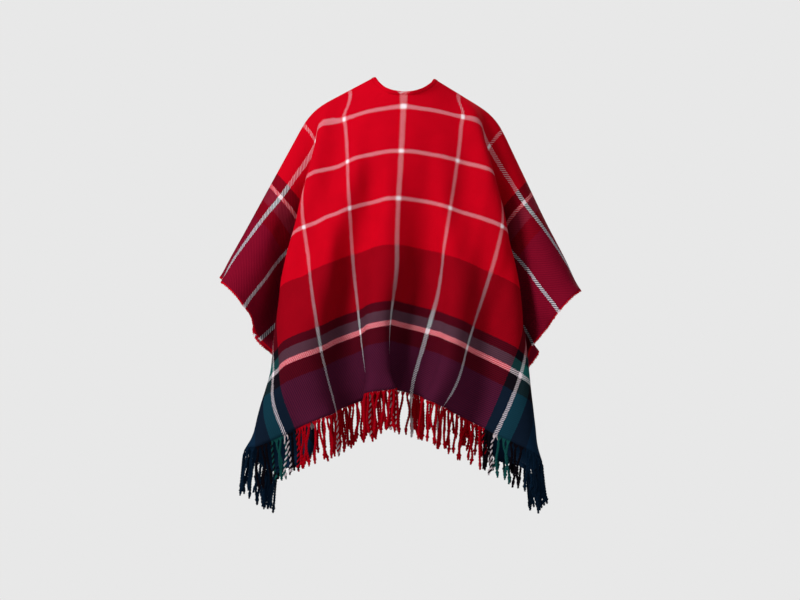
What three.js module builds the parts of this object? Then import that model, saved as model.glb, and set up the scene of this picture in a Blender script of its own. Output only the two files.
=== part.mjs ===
// A fringed plaid cape in millimetres, filled out as if worn and open down the front.
// Origin: the middle of the shoulder line, between the two sides of the neck.
// +Z is up, the back of the cape faces -Y, the open front faces +Y, and the right arm is on +X.
// The flat cloth has two distances: u from the centre line, v from the shoulder line (back +, front -).
import * as THREE from "three";

// Driving sizes
const HALF_WIDTH = 706; // centre back to side edge
const HALF_LENGTH = 750; // shoulder line to hem
const NECK_HALF = 80; // half width of the neck hole
const NECK_BACK = 30; // neck hole behind the shoulder line
const NECK_FRONT = 100; // neck hole in front of it
const FRONT_GAP = 26; // front edge to the centre line
const CLOTH = 2; // thickness of the brushed cloth
const SEAM_GAP = 0.3;
const FRINGE_GAP = 0.6;
const BINDING_WIDTH = 9;
const BINDING_THICK = 3.6;
const FRINGE_BAND = 6; // width of the strip the strands grow from
const FRINGE_LENGTH = 98;
const STRAND_WIDTH = 4;
const KNOT = 3.1; // half width of the knot near a strand's tip

// The grid of the cloth
const COLUMNS = 24; // on each side of the centre
const BACK_ROWS = 22;
const FRONT_ROWS = 23;
const BACK_NECK_ROWS = [0, 14, 25, NECK_BACK];
const FRONT_NECK_ROWS = [0, 20, 45, 70, 90, NECK_FRONT];
const ROWS = BACK_ROWS + FRONT_ROWS + 1;
const WIDE = 2 * (COLUMNS + 1);

// The figure that fills it: the line of shoulder and arm, then level sections of the torso
const DEGREE = Math.PI / 180;
const ARMS = {
  left: { side: -1, neckZ: 0, shoulder: 165, shoulderSlope: 28 * DEGREE, armSlope: 61.3 * DEGREE },
  right: { side: 1, neckZ: -5, shoulder: 165, shoulderSlope: 31.6 * DEGREE, armSlope: 64.6 * DEGREE },
};
const TURN = 60; // half length of the rounded turn from shoulder to arm
const ARM_TOP = 22; // radius under the cloth at the shoulder
const ARM_END = 50; // and at the hand
const TORSO = [
  { z: 60, wide: 50, deep: 45, middle: 12 },
  { z: 0, wide: 62, deep: 48, middle: 10 },
  { z: -40, wide: 120, deep: 56, middle: 6 },
  { z: -90, wide: 185, deep: 76, middle: -3 },
  { z: -160, wide: 195, deep: 100, middle: -10 },
  { z: -250, wide: 178, deep: 112, middle: -8 },
  { z: -430, wide: 145, deep: 95, middle: 0 },
  { z: -640, wide: 178, deep: 118, middle: -5 },
  { z: -950, wide: 165, deep: 110, middle: 0 },
];

// Where the plaid's pale lines hang, one row for each line down the cloth.
// u is signed; the other columns are [x, z, depth from the shoulder line] where it meets each level v.
const LEVELS = { neck: NECK_BACK, first: 58, second: 173, third: 288, dark: 403, pale: 591,
  hem: HALF_LENGTH };
const LINES = [
  { u: 0, neck: [1, -29, 30], first: [1, -62, 55], second: [-7, -176, 108], third: [-12, -290, 128],
    dark: [-13, -403, 132], pale: [-17, -588, 142], hem: [-21, -744, 150] },
  { u: -140, first: [-133, -98, 55], second: [-129, -215, 105], third: [-129, -331, 124],
    pale: [-105, -614, 125], hem: [-90, -761, 125] },
  { u: -281, first: [-221, -183], dark: [-233, -466, 120], pale: [-191, -668, 145], hem: [-168, -812, 150] },
  { u: -450, first: [-309, -317], second: [-265, -411], pale: [-312, -730, 118], hem: [-288, -878, 130] },
  { u: -655, hem: [-326, -938, 55] },
  { u: -706, first: [-439, -505], second: [-387, -578], third: [-366, -646], pale: [-236, -806, 20],
    hem: [-326, -932, 12] },
  { u: 140, first: [138, -86, 55], second: [120, -204, 105], third: [103, -320, 122],
    pale: [49, -603, 105], hem: [21, -749, 95] },
  { u: 281, first: [224, -176], dark: [206, -476, 125], pale: [144, -656, 145], hem: [86, -793, 150] },
  { u: 450, first: [301, -327], second: [256, -417], pale: [274, -732, 125], hem: [215, -869, 142] },
  { u: 706, first: [422, -528], second: [368, -588], third: [308, -662], pale: [212, -785, 20],
    hem: [302, -925, 12] },
];

// The large fold between back and sleeve: its ridge, a row for each distance v from the shoulder
const RIDGE = [
  { v: 0, left: 235, right: 235 },
  { v: 173, left: 240, right: 255 },
  { v: 288, left: 281, right: 290, leftX: -239, leftZ: -383, rightX: 254, rightZ: -405, depth: 110 },
  { v: 470, left: 360, right: 370, leftX: -279, leftZ: -559, rightX: 274, rightZ: -583, depth: 120 },
  { v: 591, left: 463, right: 500, leftX: -311, leftZ: -737, rightX: 309, rightZ: -752, depth: 118 },
  { v: 750, left: 517, right: 590, leftX: -348, leftZ: -910, rightX: 333, rightZ: -932, depth: 110 },
];
const FOLD_FROM = 230; // the fold starts this far below the shoulder line
const FOLD_WIDTH = 60; // cloth from the ridge to where it lies inside
const INSIDE = 75; // the sleeve's lower cloth stays nearer the middle than this
const OUTSIDE = 100; // and the back's cloth stays further out than this
const HALVES_APART = 7; // back and front halves each keep this far from the middle
const LAYERS_APART = 26; // grid nodes of two layers of a fold
const SAME_LAYER = 95; // nodes nearer than this in the flat cloth are one layer
const DEEPEST = 200;
const SLEEVE_FROM = 400; // lines further out than this hang from the arms

// How the cloth settles
const STEPS = 420;
const ARMS_DOWN_BY = 160;
const PASSES = 20;
const TIME = 1 / 60;
const GRAVITY = 4000; // less than real, so that the cloth keeps its length on this coarse grid
const SHEAR = 0.6;
const BEND = 0.7;
const KEEP = 0.985; // speed kept from step to step
const GRIP = 0.3; // friction on the figure
const HOLD = 0.1;
const HOLD_DEPTH = 0.08;
const SOFTEN_ROUNDS = 3;
const SOFTEN = 0.5;

const smooth = (t) => {
  const c = Math.min(1, Math.max(0, t));
  return c * c * (3 - 2 * c);
};
const between = (a, b, t) => a + (b - a) * t;
const node = (row, column) => row * WIDE + column;
const isLeft = (column) => column <= COLUMNS;
const isJoined = (row) => row >= FRONT_ROWS + BACK_NECK_ROWS.length - 1;
const armOf = (column) => (isLeft(column) ? ARMS.left : ARMS.right);

// Distances u and v of each grid node in the flat cloth. Rows crowd together round the neck hole only.
function flatCloth() {
  const U = new Float64Array(ROWS * WIDE);
  const V = new Float64Array(ROWS * WIDE);
  const rowPlace = (r, rows, neckRows) => {
    const last = neckRows.length - 1;
    if (r <= last) return neckRows[r];
    return neckRows[last] + ((HALF_LENGTH - neckRows[last]) * (r - last)) / (rows - last);
  };
  for (let i = 0; i < ROWS; i++) {
    const back = i >= FRONT_ROWS;
    const r = Math.abs(i - FRONT_ROWS);
    const rows = back ? BACK_ROWS : FRONT_ROWS;
    const neckRows = back ? BACK_NECK_ROWS : FRONT_NECK_ROWS;
    const depth = back ? NECK_BACK : NECK_FRONT;
    const vNeck = rowPlace(r, rows, neckRows);
    const vEven = (HALF_LENGTH * r) / rows;
    const hole = vNeck < depth ? NECK_HALF * Math.sqrt(1 - (vNeck / depth) ** 2) : 0;
    for (let k = 0; k < WIDE; k++) {
      const step = isLeft(k) ? COLUMNS - k : k - COLUMNS - 1;
      const out = (step / COLUMNS) * HALF_WIDTH;
      const u = out + hole * Math.max(0, 1 - out / 240);
      const v = between(vNeck, vEven, smooth((out - 40) / 300));
      U[node(i, k)] = isLeft(k) ? -u : u;
      V[node(i, k)] = back ? v : -v;
    }
  }
  return { U, V };
}

// A point of the shoulder-and-arm line at cloth distance u, with the arm lowered by share t.
function shoulderLine(arm, u, t) {
  if (u < NECK_HALF) return { x: arm.side * u, z: arm.neckZ };
  const steps = 40;
  const length = u - NECK_HALF;
  let x = NECK_HALF;
  let z = arm.neckZ;
  for (let n = 0; n < steps; n++) {
    const along = ((n + 0.5) / steps) * length;
    const turned = smooth((along - (arm.shoulder - TURN)) / (2 * TURN));
    const slope = arm.shoulderSlope + (arm.armSlope - arm.shoulderSlope) * t * turned;
    x += (Math.cos(slope) * length) / steps;
    z -= (Math.sin(slope) * length) / steps;
  }
  return { x: arm.side * x, z };
}

function torsoAt(z) {
  if (z >= TORSO[0].z) return TORSO[0];
  for (let n = 1; n < TORSO.length; n++) {
    const a = TORSO[n - 1];
    const b = TORSO[n];
    if (z < b.z) continue;
    const t = (a.z - z) / (a.z - b.z);
    return { wide: between(a.wide, b.wide, t), deep: between(a.deep, b.deep, t),
      middle: between(a.middle, b.middle, t) };
  }
  return TORSO[TORSO.length - 1];
}

function ridgeAt(v, side) {
  const name = side < 0 ? "left" : "right";
  for (let n = 1; n < RIDGE.length; n++) {
    if (v > RIDGE[n].v) continue;
    const t = (v - RIDGE[n - 1].v) / (RIDGE[n].v - RIDGE[n - 1].v);
    return between(RIDGE[n - 1][name], RIDGE[n][name], t);
  }
  return RIDGE[RIDGE.length - 1][name];
}

// Pairs of nodes that keep their flat distance, in groups that share no node.
function threads({ U, V }) {
  const groups = [];
  const sameSide = (k1, k2) => isLeft(k1) === isLeft(k2);
  const add = (kind, list) => {
    const pairs = list.map(([a, b]) => {
      const across = U[a] - U[b];
      const down = V[a] - V[b];
      return { a, b, rest: Math.sqrt(across * across + down * down) };
    });
    groups.push({ kind, pairs });
  };
  const gather = (kind, wanted, rowStep, columnStep) => {
    const list = [];
    for (let i = 0; i + rowStep < ROWS; i++) {
      for (let k = 0; k < WIDE; k++) {
        const k2 = k + columnStep;
        if (k2 < 0 || k2 >= WIDE || !sameSide(k, k2) || !wanted(i, k)) continue;
        list.push([node(i, k), node(i + rowStep, k2)]);
      }
    }
    add(kind, list);
  };
  for (const odd of [0, 1]) gather("thread", (i, k) => k % 2 === odd, 0, 1);
  for (const odd of [0, 1]) gather("thread", (i) => i % 2 === odd, 1, 0);
  for (const odd of [0, 1]) {
    gather("shear", (i) => i % 2 === odd, 1, 1);
    gather("shear", (i) => i % 2 === odd, 1, -1);
  }
  for (const odd of [0, 1]) gather("bend", (i, k) => (k >> 1) % 2 === odd, 0, 2);
  for (const odd of [0, 1]) gather("bend", (i) => (i >> 1) % 2 === odd, 2, 0);
  const centre = [];
  for (let i = 0; i < ROWS; i++) {
    if (isJoined(i)) centre.push([node(i, COLUMNS - 1), node(i, COLUMNS + 2)]);
  }
  add("bend", centre);
  return groups;
}

// The four nodes round a place (u, v) of the flat cloth, with their shares.
function placeIn({ U, V }, u, v, side) {
  const first = side < 0 ? 0 : COLUMNS + 1;
  let k = first;
  while (k < first + COLUMNS - 1 && U[node(ROWS - 1, k + 1)] <= u) k++;
  let i = 0;
  while (i < ROWS - 2 && V[node(i + 1, k)] <= v) i++;
  const a = Math.min(1, Math.max(0, (v - V[node(i, k)]) / (V[node(i + 1, k)] - V[node(i, k)])));
  const b = Math.min(1, Math.max(0, (u - U[node(i, k)]) / (U[node(i, k + 1)] - U[node(i, k)])));
  const nodes = [node(i, k), node(i + 1, k), node(i, k + 1), node(i + 1, k + 1)];
  const shares = [(1 - a) * (1 - b), a * (1 - b), (1 - a) * b, a * b];
  const size = shares.reduce((sum, w) => sum + w * w, 0);
  return { nodes, shares, size };
}

// Every place that is led to where it hangs, on the back and mirrored on the front.
function holds(flat) {
  const list = [];
  const one = (u, v, side, x, z, y) => list.push({ ...placeIn(flat, u, v, side), x, z, y });
  const add = (u, v, x, z, depth) => {
    const side = u > 0 ? 1 : -1;
    for (const half of [1, -1]) one(u, half * v, side, x, z, depth ? -half * depth : null);
  };
  for (const line of LINES) {
    for (const [level, v] of Object.entries(LEVELS)) {
      if (!line[level]) continue;
      const [x, z, depth] = line[level];
      const body = Math.abs(line.u) < SLEEVE_FROM;
      if (!body) add(line.u, v, x, z, depth);
      if (body) one(line.u, v, line.u > 0 ? 1 : -1, x, z, depth ? -depth : null);
      // the two front panels both hang as the left half of the back does
      if (body && line.u < 0) one(line.u, -v, -1, x, z, depth ? depth : null);
      if (body && line.u < 0) one(-line.u, -v, 1, -x, z, depth ? depth : null);
      if (line.u === 0 && v > NECK_FRONT) {
        for (const side of [-1, 1]) one(0, -v, side, side * (FRONT_GAP + 4), z, depth);
      }
    }
  }
  for (const row of RIDGE) {
    if (!row.depth) continue;
    add(-row.left, row.v, row.leftX, row.leftZ, row.depth);
    add(row.right, row.v, row.rightX, row.rightZ, row.depth);
  }
  return list;
}

// The settled middle surface of the cloth: three numbers for each grid node.
function settle(flat) {
  const { U, V } = flat;
  const count = ROWS * WIDE;
  const X = new Float64Array(count * 3);
  const P = new Float64Array(count * 3);
  const speed = new Float64Array(count * 3);
  const free = new Float64Array(count).fill(1);
  const nearest = new Float64Array(count);
  const furthest = new Float64Array(count).fill(DEEPEST);
  for (let i = 0; i < ROWS; i++) {
    for (let k = 0; k < WIDE; k++) {
      const q = node(i, k);
      const top = shoulderLine(armOf(k), Math.abs(U[q]), 0);
      const down = Math.abs(V[q]);
      const drop = Math.max(0, down - 75);
      X[3 * q] = V[q] < 0 && Math.abs(U[q]) < 1 ? armOf(k).side * FRONT_GAP : top.x;
      X[3 * q + 1] = (i >= FRONT_ROWS ? -1 : 1) * Math.min(down, 75 + 0.12 * drop);
      X[3 * q + 2] = top.z - 0.99 * drop;
      if (i === FRONT_ROWS) free[q] = 0;
      const ridge = ridgeAt(down, armOf(k).side);
      if (down > FOLD_FROM && Math.abs(U[q]) > ridge + FOLD_WIDTH) furthest[q] = INSIDE;
      if (down > FOLD_FROM && Math.abs(U[q]) < ridge + 5) nearest[q] = OUTSIDE;
    }
  }
  const groups = threads(flat);
  const led = holds(flat);
  const stiffness = { thread: 1, shear: SHEAR, bend: BEND };
  let layers = [];

  for (let step = 0; step < STEPS; step++) {
    const lowered = smooth(step / ARMS_DOWN_BY);
    for (let k = 0; k < WIDE; k++) {
      const q = node(FRONT_ROWS, k);
      const top = shoulderLine(armOf(k), Math.abs(U[q]), lowered);
      X[3 * q] = P[3 * q] = top.x;
      X[3 * q + 2] = P[3 * q + 2] = top.z;
    }
    const kept = step < STEPS * 0.7 ? KEEP : KEEP * 0.97;
    for (let q = 0; q < count; q++) {
      if (!free[q]) continue;
      for (let c = 0; c < 3; c++) {
        const fall = c === 2 ? GRAVITY * TIME : 0;
        P[3 * q + c] = X[3 * q + c] + (speed[3 * q + c] * kept - fall) * TIME;
      }
    }
    const limbs = Object.values(ARMS).map((arm) => {
      const a = shoulderLine(arm, 215, lowered);
      const b = shoulderLine(arm, HALF_WIDTH - 10, lowered);
      const length = Math.sqrt((b.x - a.x) ** 2 + (b.z - a.z) ** 2);
      const dx = (b.x - a.x) / length;
      const dz = (b.z - a.z) / length;
      return { x: a.x, z: a.z, length, dx, dz, nx: dz * arm.side, nz: -dx * arm.side };
    });
    const lead = HOLD * Math.min(1, Math.max(0, (step - 20) / 150));
    const close = step % 2 === 0 ? layerPairs(X, flat) : null;
    if (close) layers = close;
    for (let pass = 0; pass < PASSES; pass++) {
      for (const { kind, pairs } of groups) pull(P, free, pairs, stiffness[kind], kind === "bend");
      for (let i = 0; i < ROWS; i++) {
        if (isJoined(i)) join(P, node(i, COLUMNS), node(i, COLUMNS + 1));
      }
      for (const hold of led) leadTo(P, hold, lead);
      if (pass % 2 === 1) part(P, free, layers);
      const last = pass === PASSES - 1;
      for (let q = 0; q < count; q++) {
        if (!free[q]) continue;
        const column = q % WIDE;
        const half = Math.floor(q / WIDE) > FRONT_ROWS ? -1 : 1;
        const touched = clearFigure(P, q, limbs[isLeft(column) ? 0 : 1]);
        let y = P[3 * q + 1] * half;
        if (nearest[q] > 0) y = Math.max(y, nearest[q]);
        y = Math.min(y, furthest[q]);
        y = Math.max(y, HALVES_APART);
        P[3 * q + 1] = y * half;
        const side = armOf(column).side;
        if (half > 0 && side * P[3 * q] < FRONT_GAP) P[3 * q] = side * FRONT_GAP;
        if (touched && last) {
          for (let c = 0; c < 3; c++) P[3 * q + c] += (X[3 * q + c] - P[3 * q + c]) * GRIP;
        }
      }
    }
    for (let n = 0; n < count * 3; n++) {
      speed[n] = (P[n] - X[n]) / TIME;
      X[n] = P[n];
    }
  }
  return X;
}

// Evens out the small zigzags that the coarse grid leaves in sharp folds. Edges and the shoulder line stay.
function soften(X) {
  let from = X;
  for (let round = 0; round < SOFTEN_ROUNDS; round++) {
    const to = Float64Array.from(from);
    for (let i = 1; i + 1 < ROWS; i++) {
      if (i === FRONT_ROWS) continue;
      for (let k = 1; k + 1 < WIDE; k++) {
        const centre = k === COLUMNS || k === COLUMNS + 1;
        if (centre && !isJoined(i - 1)) continue;
        const before = centre ? node(i, COLUMNS - 1) : node(i, k - 1);
        const after = centre ? node(i, COLUMNS + 2) : node(i, k + 1);
        for (let c = 0; c < 3; c++) {
          const sum = from[3 * before + c] + from[3 * after + c]
            + from[3 * node(i - 1, k) + c] + from[3 * node(i + 1, k) + c];
          to[3 * node(i, k) + c] += SOFTEN * (sum / 4 - from[3 * node(i, k) + c]);
        }
      }
    }
    from = to;
  }
  return from;
}

function pull(P, free, pairs, stiff, pushOnly) {
  for (const { a, b, rest } of pairs) {
    const share = free[a] + free[b];
    if (!share) continue;
    const dx = P[3 * b] - P[3 * a];
    const dy = P[3 * b + 1] - P[3 * a + 1];
    const dz = P[3 * b + 2] - P[3 * a + 2];
    const length = Math.sqrt(dx * dx + dy * dy + dz * dz) + 1e-9;
    if (pushOnly && length > rest) continue;
    const f = (stiff * (length - rest)) / length / share;
    P[3 * a] += dx * f * free[a];
    P[3 * a + 1] += dy * f * free[a];
    P[3 * a + 2] += dz * f * free[a];
    P[3 * b] -= dx * f * free[b];
    P[3 * b + 1] -= dy * f * free[b];
    P[3 * b + 2] -= dz * f * free[b];
  }
}

// Pairs of nodes of different layers that have come near each other.
function layerPairs(X, { U, V }) {
  const near = LAYERS_APART * 1.6;
  const pairs = [];
  for (let a = 0; a < ROWS * WIDE; a++) {
    for (let b = a + 1; b < ROWS * WIDE; b++) {
      const dx = X[3 * a] - X[3 * b];
      if (dx > near || dx < -near) continue;
      const dz = X[3 * a + 2] - X[3 * b + 2];
      if (dz > near || dz < -near) continue;
      const dy = X[3 * a + 1] - X[3 * b + 1];
      if (dx * dx + dy * dy + dz * dz > near * near) continue;
      const across = U[a] - U[b];
      const down = V[a] - V[b];
      if (across * across + down * down > SAME_LAYER * SAME_LAYER) pairs.push([a, b]);
    }
  }
  return pairs;
}

// Pushes the pairs apart, all from the same positions.
function part(P, free, pairs) {
  const moves = [];
  for (const [a, b] of pairs) {
    const dx = P[3 * b] - P[3 * a];
    const dy = P[3 * b + 1] - P[3 * a + 1];
    const dz = P[3 * b + 2] - P[3 * a + 2];
    const length = Math.sqrt(dx * dx + dy * dy + dz * dz) + 1e-9;
    const f = length < LAYERS_APART ? (0.25 * (LAYERS_APART - length)) / length : 0;
    moves.push([dx * f, dy * f, dz * f]);
  }
  pairs.forEach(([a, b], n) => {
    for (let c = 0; c < 3; c++) {
      P[3 * a + c] -= moves[n][c] * free[a];
      P[3 * b + c] += moves[n][c] * free[b];
    }
  });
}

function join(P, a, b) {
  for (let c = 0; c < 3; c++) {
    const middle = (P[3 * a + c] + P[3 * b + c]) / 2;
    P[3 * a + c] = middle;
    P[3 * b + c] = middle;
  }
}

function leadTo(P, { nodes, shares, size, x, y, z }, lead) {
  const at = [0, 0, 0];
  nodes.forEach((q, n) => {
    for (let c = 0; c < 3; c++) at[c] += shares[n] * P[3 * q + c];
  });
  const move = [(x - at[0]) * lead, y === null ? 0 : (y - at[1]) * HOLD_DEPTH, (z - at[2]) * lead];
  nodes.forEach((q, n) => {
    for (let c = 0; c < 3; c++) P[3 * q + c] += (move[c] * shares[n]) / size;
  });
}

// Moves a node out of the torso and off the arm, and says whether it touched either.
function clearFigure(P, q, limb) {
  let x = P[3 * q];
  let y = P[3 * q + 1];
  let z = P[3 * q + 2];
  let touched = false;
  const body = torsoAt(z);
  const ex = x / body.wide;
  const ey = (y - body.middle) / body.deep;
  const inside = ex * ex + ey * ey;
  if (inside < 1) {
    const f = 1 / Math.sqrt(inside + 1e-9);
    x = ex * f * body.wide;
    y = ey * f * body.deep + body.middle;
    touched = true;
  }
  const along = (x - limb.x) * limb.dx + (z - limb.z) * limb.dz;
  if (along > -20 && along < limb.length + 15) {
    const share = Math.min(1, Math.max(0, along / limb.length));
    const radius = between(ARM_TOP, ARM_END, share);
    const cx = limb.x + limb.dx * along + limb.nx * radius;
    const cz = limb.z + limb.dz * along + limb.nz * radius;
    const out = (x - cx) * limb.nx + (z - cz) * limb.nz;
    const away = Math.sqrt(out * out + y * y);
    if (away < radius && away > 1e-6) {
      const f = radius / away;
      x += (out * f - out) * limb.nx;
      z += (out * f - out) * limb.nz;
      y *= f;
      touched = true;
    }
  }
  P[3 * q] = x;
  P[3 * q + 1] = y;
  P[3 * q + 2] = z;
  return touched;
}

// From the settled surface to solids
const flat = flatCloth();
const settled = soften(settle(flat));
const single = (row, column) =>
  node(row, isJoined(row) && column === COLUMNS + 1 ? COLUMNS : column);
const pointOf = (q) => new THREE.Vector3(settled[3 * q], settled[3 * q + 1], settled[3 * q + 2]);

// How long the way between two nodes is against its flat length: a fold runs along the longer diagonal.
function stretch(a, b) {
  const across = flat.U[a] - flat.U[b];
  const down = flat.V[a] - flat.V[b];
  return pointOf(a).distanceTo(pointOf(b)) / Math.sqrt(across * across + down * down);
}

function clothFaces() {
  const faces = [];
  for (let i = 0; i + 1 < ROWS; i++) {
    for (let k = 0; k + 1 < WIDE; k++) {
      if (k === COLUMNS) continue;
      const [a, b, c, d] = [single(i, k), single(i + 1, k), single(i + 1, k + 1), single(i, k + 1)];
      if (stretch(a, c) > stretch(b, d)) {
        faces.push([a, b, c], [a, c, d]);
      } else {
        faces.push([a, b, d], [b, c, d]);
      }
    }
  }
  return faces;
}

const faces = clothFaces();
const normals = new Map();
for (const face of faces) {
  const [a, b, c] = face.map(pointOf);
  const normal = b.sub(a).cross(c.sub(a));
  for (const q of face) {
    if (!normals.has(q)) normals.set(q, new THREE.Vector3());
    normals.get(q).add(normal);
  }
}
for (const normal of normals.values()) normal.normalize();

function solid(name, vertices, triangles, colour, roughness) {
  const geometry = new THREE.BufferGeometry();
  const numbers = vertices.flatMap((p) => p.toArray());
  geometry.setAttribute("position", new THREE.Float32BufferAttribute(numbers, 3));
  geometry.setIndex(triangles.flat());
  geometry.computeVertexNormals();
  const material = new THREE.MeshStandardMaterial({ color: colour, roughness, metalness: 0 });
  const mesh = new THREE.Mesh(geometry, material);
  mesh.name = name;
  return mesh;
}

// The cloth as one closed wall: the surface moved out and in by half the thickness, and closed at its edges.
function clothWall() {
  const used = [...normals.keys()];
  const order = new Map(used.map((q, n) => [q, n]));
  const moved = (way) =>
    used.map((q) => pointOf(q).addScaledVector(normals.get(q), (way * CLOTH) / 2));
  const vertices = [...moved(1), ...moved(-1)];
  const inner = used.length;
  const triangles = [];
  const edges = new Set(faces.flatMap(([a, b, c]) => [`${a},${b}`, `${b},${c}`, `${c},${a}`]));
  for (const [a, b, c] of faces) {
    const [p, q, r] = [order.get(a), order.get(b), order.get(c)];
    triangles.push([p, q, r], [inner + r, inner + q, inner + p]);
    for (const [from, to] of [[a, b], [b, c], [c, a]]) {
      if (edges.has(`${to},${from}`)) continue;
      const [s, t] = [order.get(from), order.get(to)];
      triangles.push([t, s, inner + s], [t, inner + s, inner + t]);
    }
  }
  return solid("cape_cloth", vertices, triangles, 0xb8081f, 0.92);
}

// Frames along an edge of the cloth: place, way out of the cloth in its own plane, and surface normal.
function edgeFrames(list) {
  return list.map(({ edge, inside }, n) => {
    const place = pointOf(edge);
    const before = pointOf(list[Math.max(0, n - 1)].edge);
    const after = pointOf(list[Math.min(list.length - 1, n + 1)].edge);
    const along = after.sub(before).normalize();
    const normal = normals.get(edge).clone();
    normal.addScaledVector(along, -normal.dot(along)).normalize();
    const out = place.clone().sub(pointOf(inside));
    out.addScaledVector(along, -out.dot(along)).addScaledVector(normal, -out.dot(normal)).normalize();
    return { place, out, normal };
  });
}

// A closed bar through rings of points, its two ends capped.
function bar(rings, vertices, triangles) {
  const start = vertices.length;
  const sides = rings[0].length;
  rings.forEach((ring) => vertices.push(...ring));
  for (let n = 0; n + 1 < rings.length; n++) {
    for (let s = 0; s < sides; s++) {
      const a = start + n * sides + s;
      const b = start + n * sides + ((s + 1) % sides);
      triangles.push([a, b, b + sides], [a, b + sides, a + sides]);
    }
  }
  const end = start + (rings.length - 1) * sides;
  for (let s = 1; s + 1 < sides; s++) {
    triangles.push([start, start + s + 1, start + s], [end, end + s, end + s + 1]);
  }
}

// The rolled binding: up the left front edge, round the neck, and down the right front edge.
function binding() {
  const list = [];
  const neckRow = FRONT_ROWS + BACK_NECK_ROWS.length - 1;
  for (let i = 0; i < neckRow; i++) list.push({ edge: node(i, COLUMNS), inside: node(i, COLUMNS - 1) });
  list.push({ edge: node(neckRow, COLUMNS), inside: node(neckRow + 1, COLUMNS) });
  for (let i = neckRow - 1; i >= 0; i--) {
    list.push({ edge: node(i, COLUMNS + 1), inside: node(i, COLUMNS + 2) });
  }
  const thin = CLOTH / 2;
  const section = [[0, -thin], [BINDING_WIDTH / 2, -BINDING_THICK / 2], [BINDING_WIDTH, -thin],
    [BINDING_WIDTH, thin], [BINDING_WIDTH / 2, BINDING_THICK / 2], [0, thin]];
  const rings = edgeFrames(list).map(({ place, out, normal }) => section.map(([far, high]) =>
    place.clone().addScaledVector(out, SEAM_GAP + far).addScaledVector(normal, high)));
  const vertices = [];
  const triangles = [];
  bar(rings, vertices, triangles);
  return solid("neck_front_binding", vertices, triangles, 0xa00519, 0.9);
}

// A repeatable scatter from -1 to 1 for strand n.
const scatter = (n, seed) => {
  const s = Math.sin(n * 12.9898 + seed * 78.233) * 43758.5453;
  return 2 * (s - Math.floor(s)) - 1;
};

// A fringe: a narrow strip along the hem, with 2 or 3 strands to a grid column grown from its lower face.
function fringe(name, list, colour, seed) {
  const frames = edgeFrames(list);
  const high = CLOTH / 2 + 0.1;
  const corner = (frame, far, up) =>
    frame.place.clone().addScaledVector(frame.out, far).addScaledVector(frame.normal, up);
  const mix = (a, b, t) => ({
    place: a.place.clone().lerp(b.place, t),
    out: a.out.clone().lerp(b.out, t).normalize(),
    normal: a.normal.clone().lerp(b.normal, t).normalize(),
  });
  const stations = [];
  for (let n = 0; n + 1 < frames.length; n++) {
    const width = frames[n].place.distanceTo(frames[n + 1].place);
    const strands = 2 + (n % 2);
    stations.push({ frame: frames[n], root: false });
    for (let s = 0; s < strands; s++) {
      const middle = (s + 0.5 + 0.1 * scatter(3 * n + s, seed)) / strands;
      const half = STRAND_WIDTH / 2 / width;
      stations.push({ frame: mix(frames[n], frames[n + 1], middle - half), root: true });
      stations.push({ frame: mix(frames[n], frames[n + 1], middle + half), root: false });
    }
  }
  stations.push({ frame: frames[frames.length - 1], root: false });
  const vertices = [];
  const triangles = [];
  const far = FRINGE_GAP + FRINGE_BAND;
  for (const { frame } of stations) {
    vertices.push(corner(frame, FRINGE_GAP, high), corner(frame, far, high));
    vertices.push(corner(frame, far, -high), corner(frame, FRINGE_GAP, -high));
  }
  // corners of a station: 0 top outside, 1 bottom outside, 2 bottom inside, 3 top inside
  const quad = (a, b, c, d) => triangles.push([a, b, c], [a, c, d]);
  const lastStation = 4 * (stations.length - 1);
  quad(0, 1, 2, 3);
  quad(lastStation + 3, lastStation + 2, lastStation + 1, lastStation);
  let strand = 0;
  for (let n = 0; n + 1 < stations.length; n++) {
    const a = 4 * n;
    const b = a + 4;
    quad(a, b, b + 1, a + 1);
    quad(a + 2, b + 2, b + 3, a + 3);
    quad(a + 3, b + 3, b, a);
    if (!stations[n].root) {
      quad(a + 1, b + 1, b + 2, a + 2);
      continue;
    }
    triangles.push([a + 1, b + 2, a + 2]);
    grow([a + 1, b + 1, b + 2], stations[n].frame, strand++);
  }

  function grow(root, frame, number) {
    const down = new THREE.Vector3(0, 0, -0.85).addScaledVector(frame.out, 0.15).normalize();
    const corners = root.map((q) => vertices[q]);
    const base = corners[0].clone().add(corners[1]).add(corners[2]).divideScalar(3);
    const side = corners[1].clone().sub(corners[0]);
    side.addScaledVector(down, -side.dot(down)).normalize();
    const face = down.clone().cross(side);
    const length = FRINGE_LENGTH * (1 + 0.07 * scatter(number, seed + 1));
    const [first, second] = corners.slice(0, 2).map((p) => {
      const arm = p.clone().sub(base);
      return { across: arm.dot(side), deep: arm.dot(face) };
    });
    const start = Math.atan2(first.deep, first.across);
    const way = Math.sign(first.across * second.deep - first.deep * second.across);
    const sway = 2.2 * scatter(number, seed + 2);
    const rows = [
      { share: 0.45, radius: 2, sway: sway },
      { share: 0.9, radius: KNOT, sway: -0.4 * sway },
    ];
    let ring = root;
    for (const { share, radius, sway: aside } of rows) {
      const centre = base.clone().addScaledVector(down, length * share).addScaledVector(side, aside);
      const next = [0, 1, 2].map((s) => {
        const angle = start + (way * s * 2 * Math.PI) / 3;
        const p = centre.clone().addScaledVector(side, radius * Math.cos(angle));
        vertices.push(p.addScaledVector(face, radius * Math.sin(angle)));
        return vertices.length - 1;
      });
      for (let s = 0; s < 3; s++) {
        const t = (s + 1) % 3;
        quad(ring[s], ring[t], next[t], next[s]);
      }
      ring = next;
    }
    const tip = base.clone().addScaledVector(down, length).addScaledVector(side, -0.5 * sway);
    vertices.push(tip);
    for (let s = 0; s < 3; s++) triangles.push([ring[s], ring[(s + 1) % 3], vertices.length - 1]);
  }
  return solid(name, vertices, triangles, colour, 0.95);
}

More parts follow.
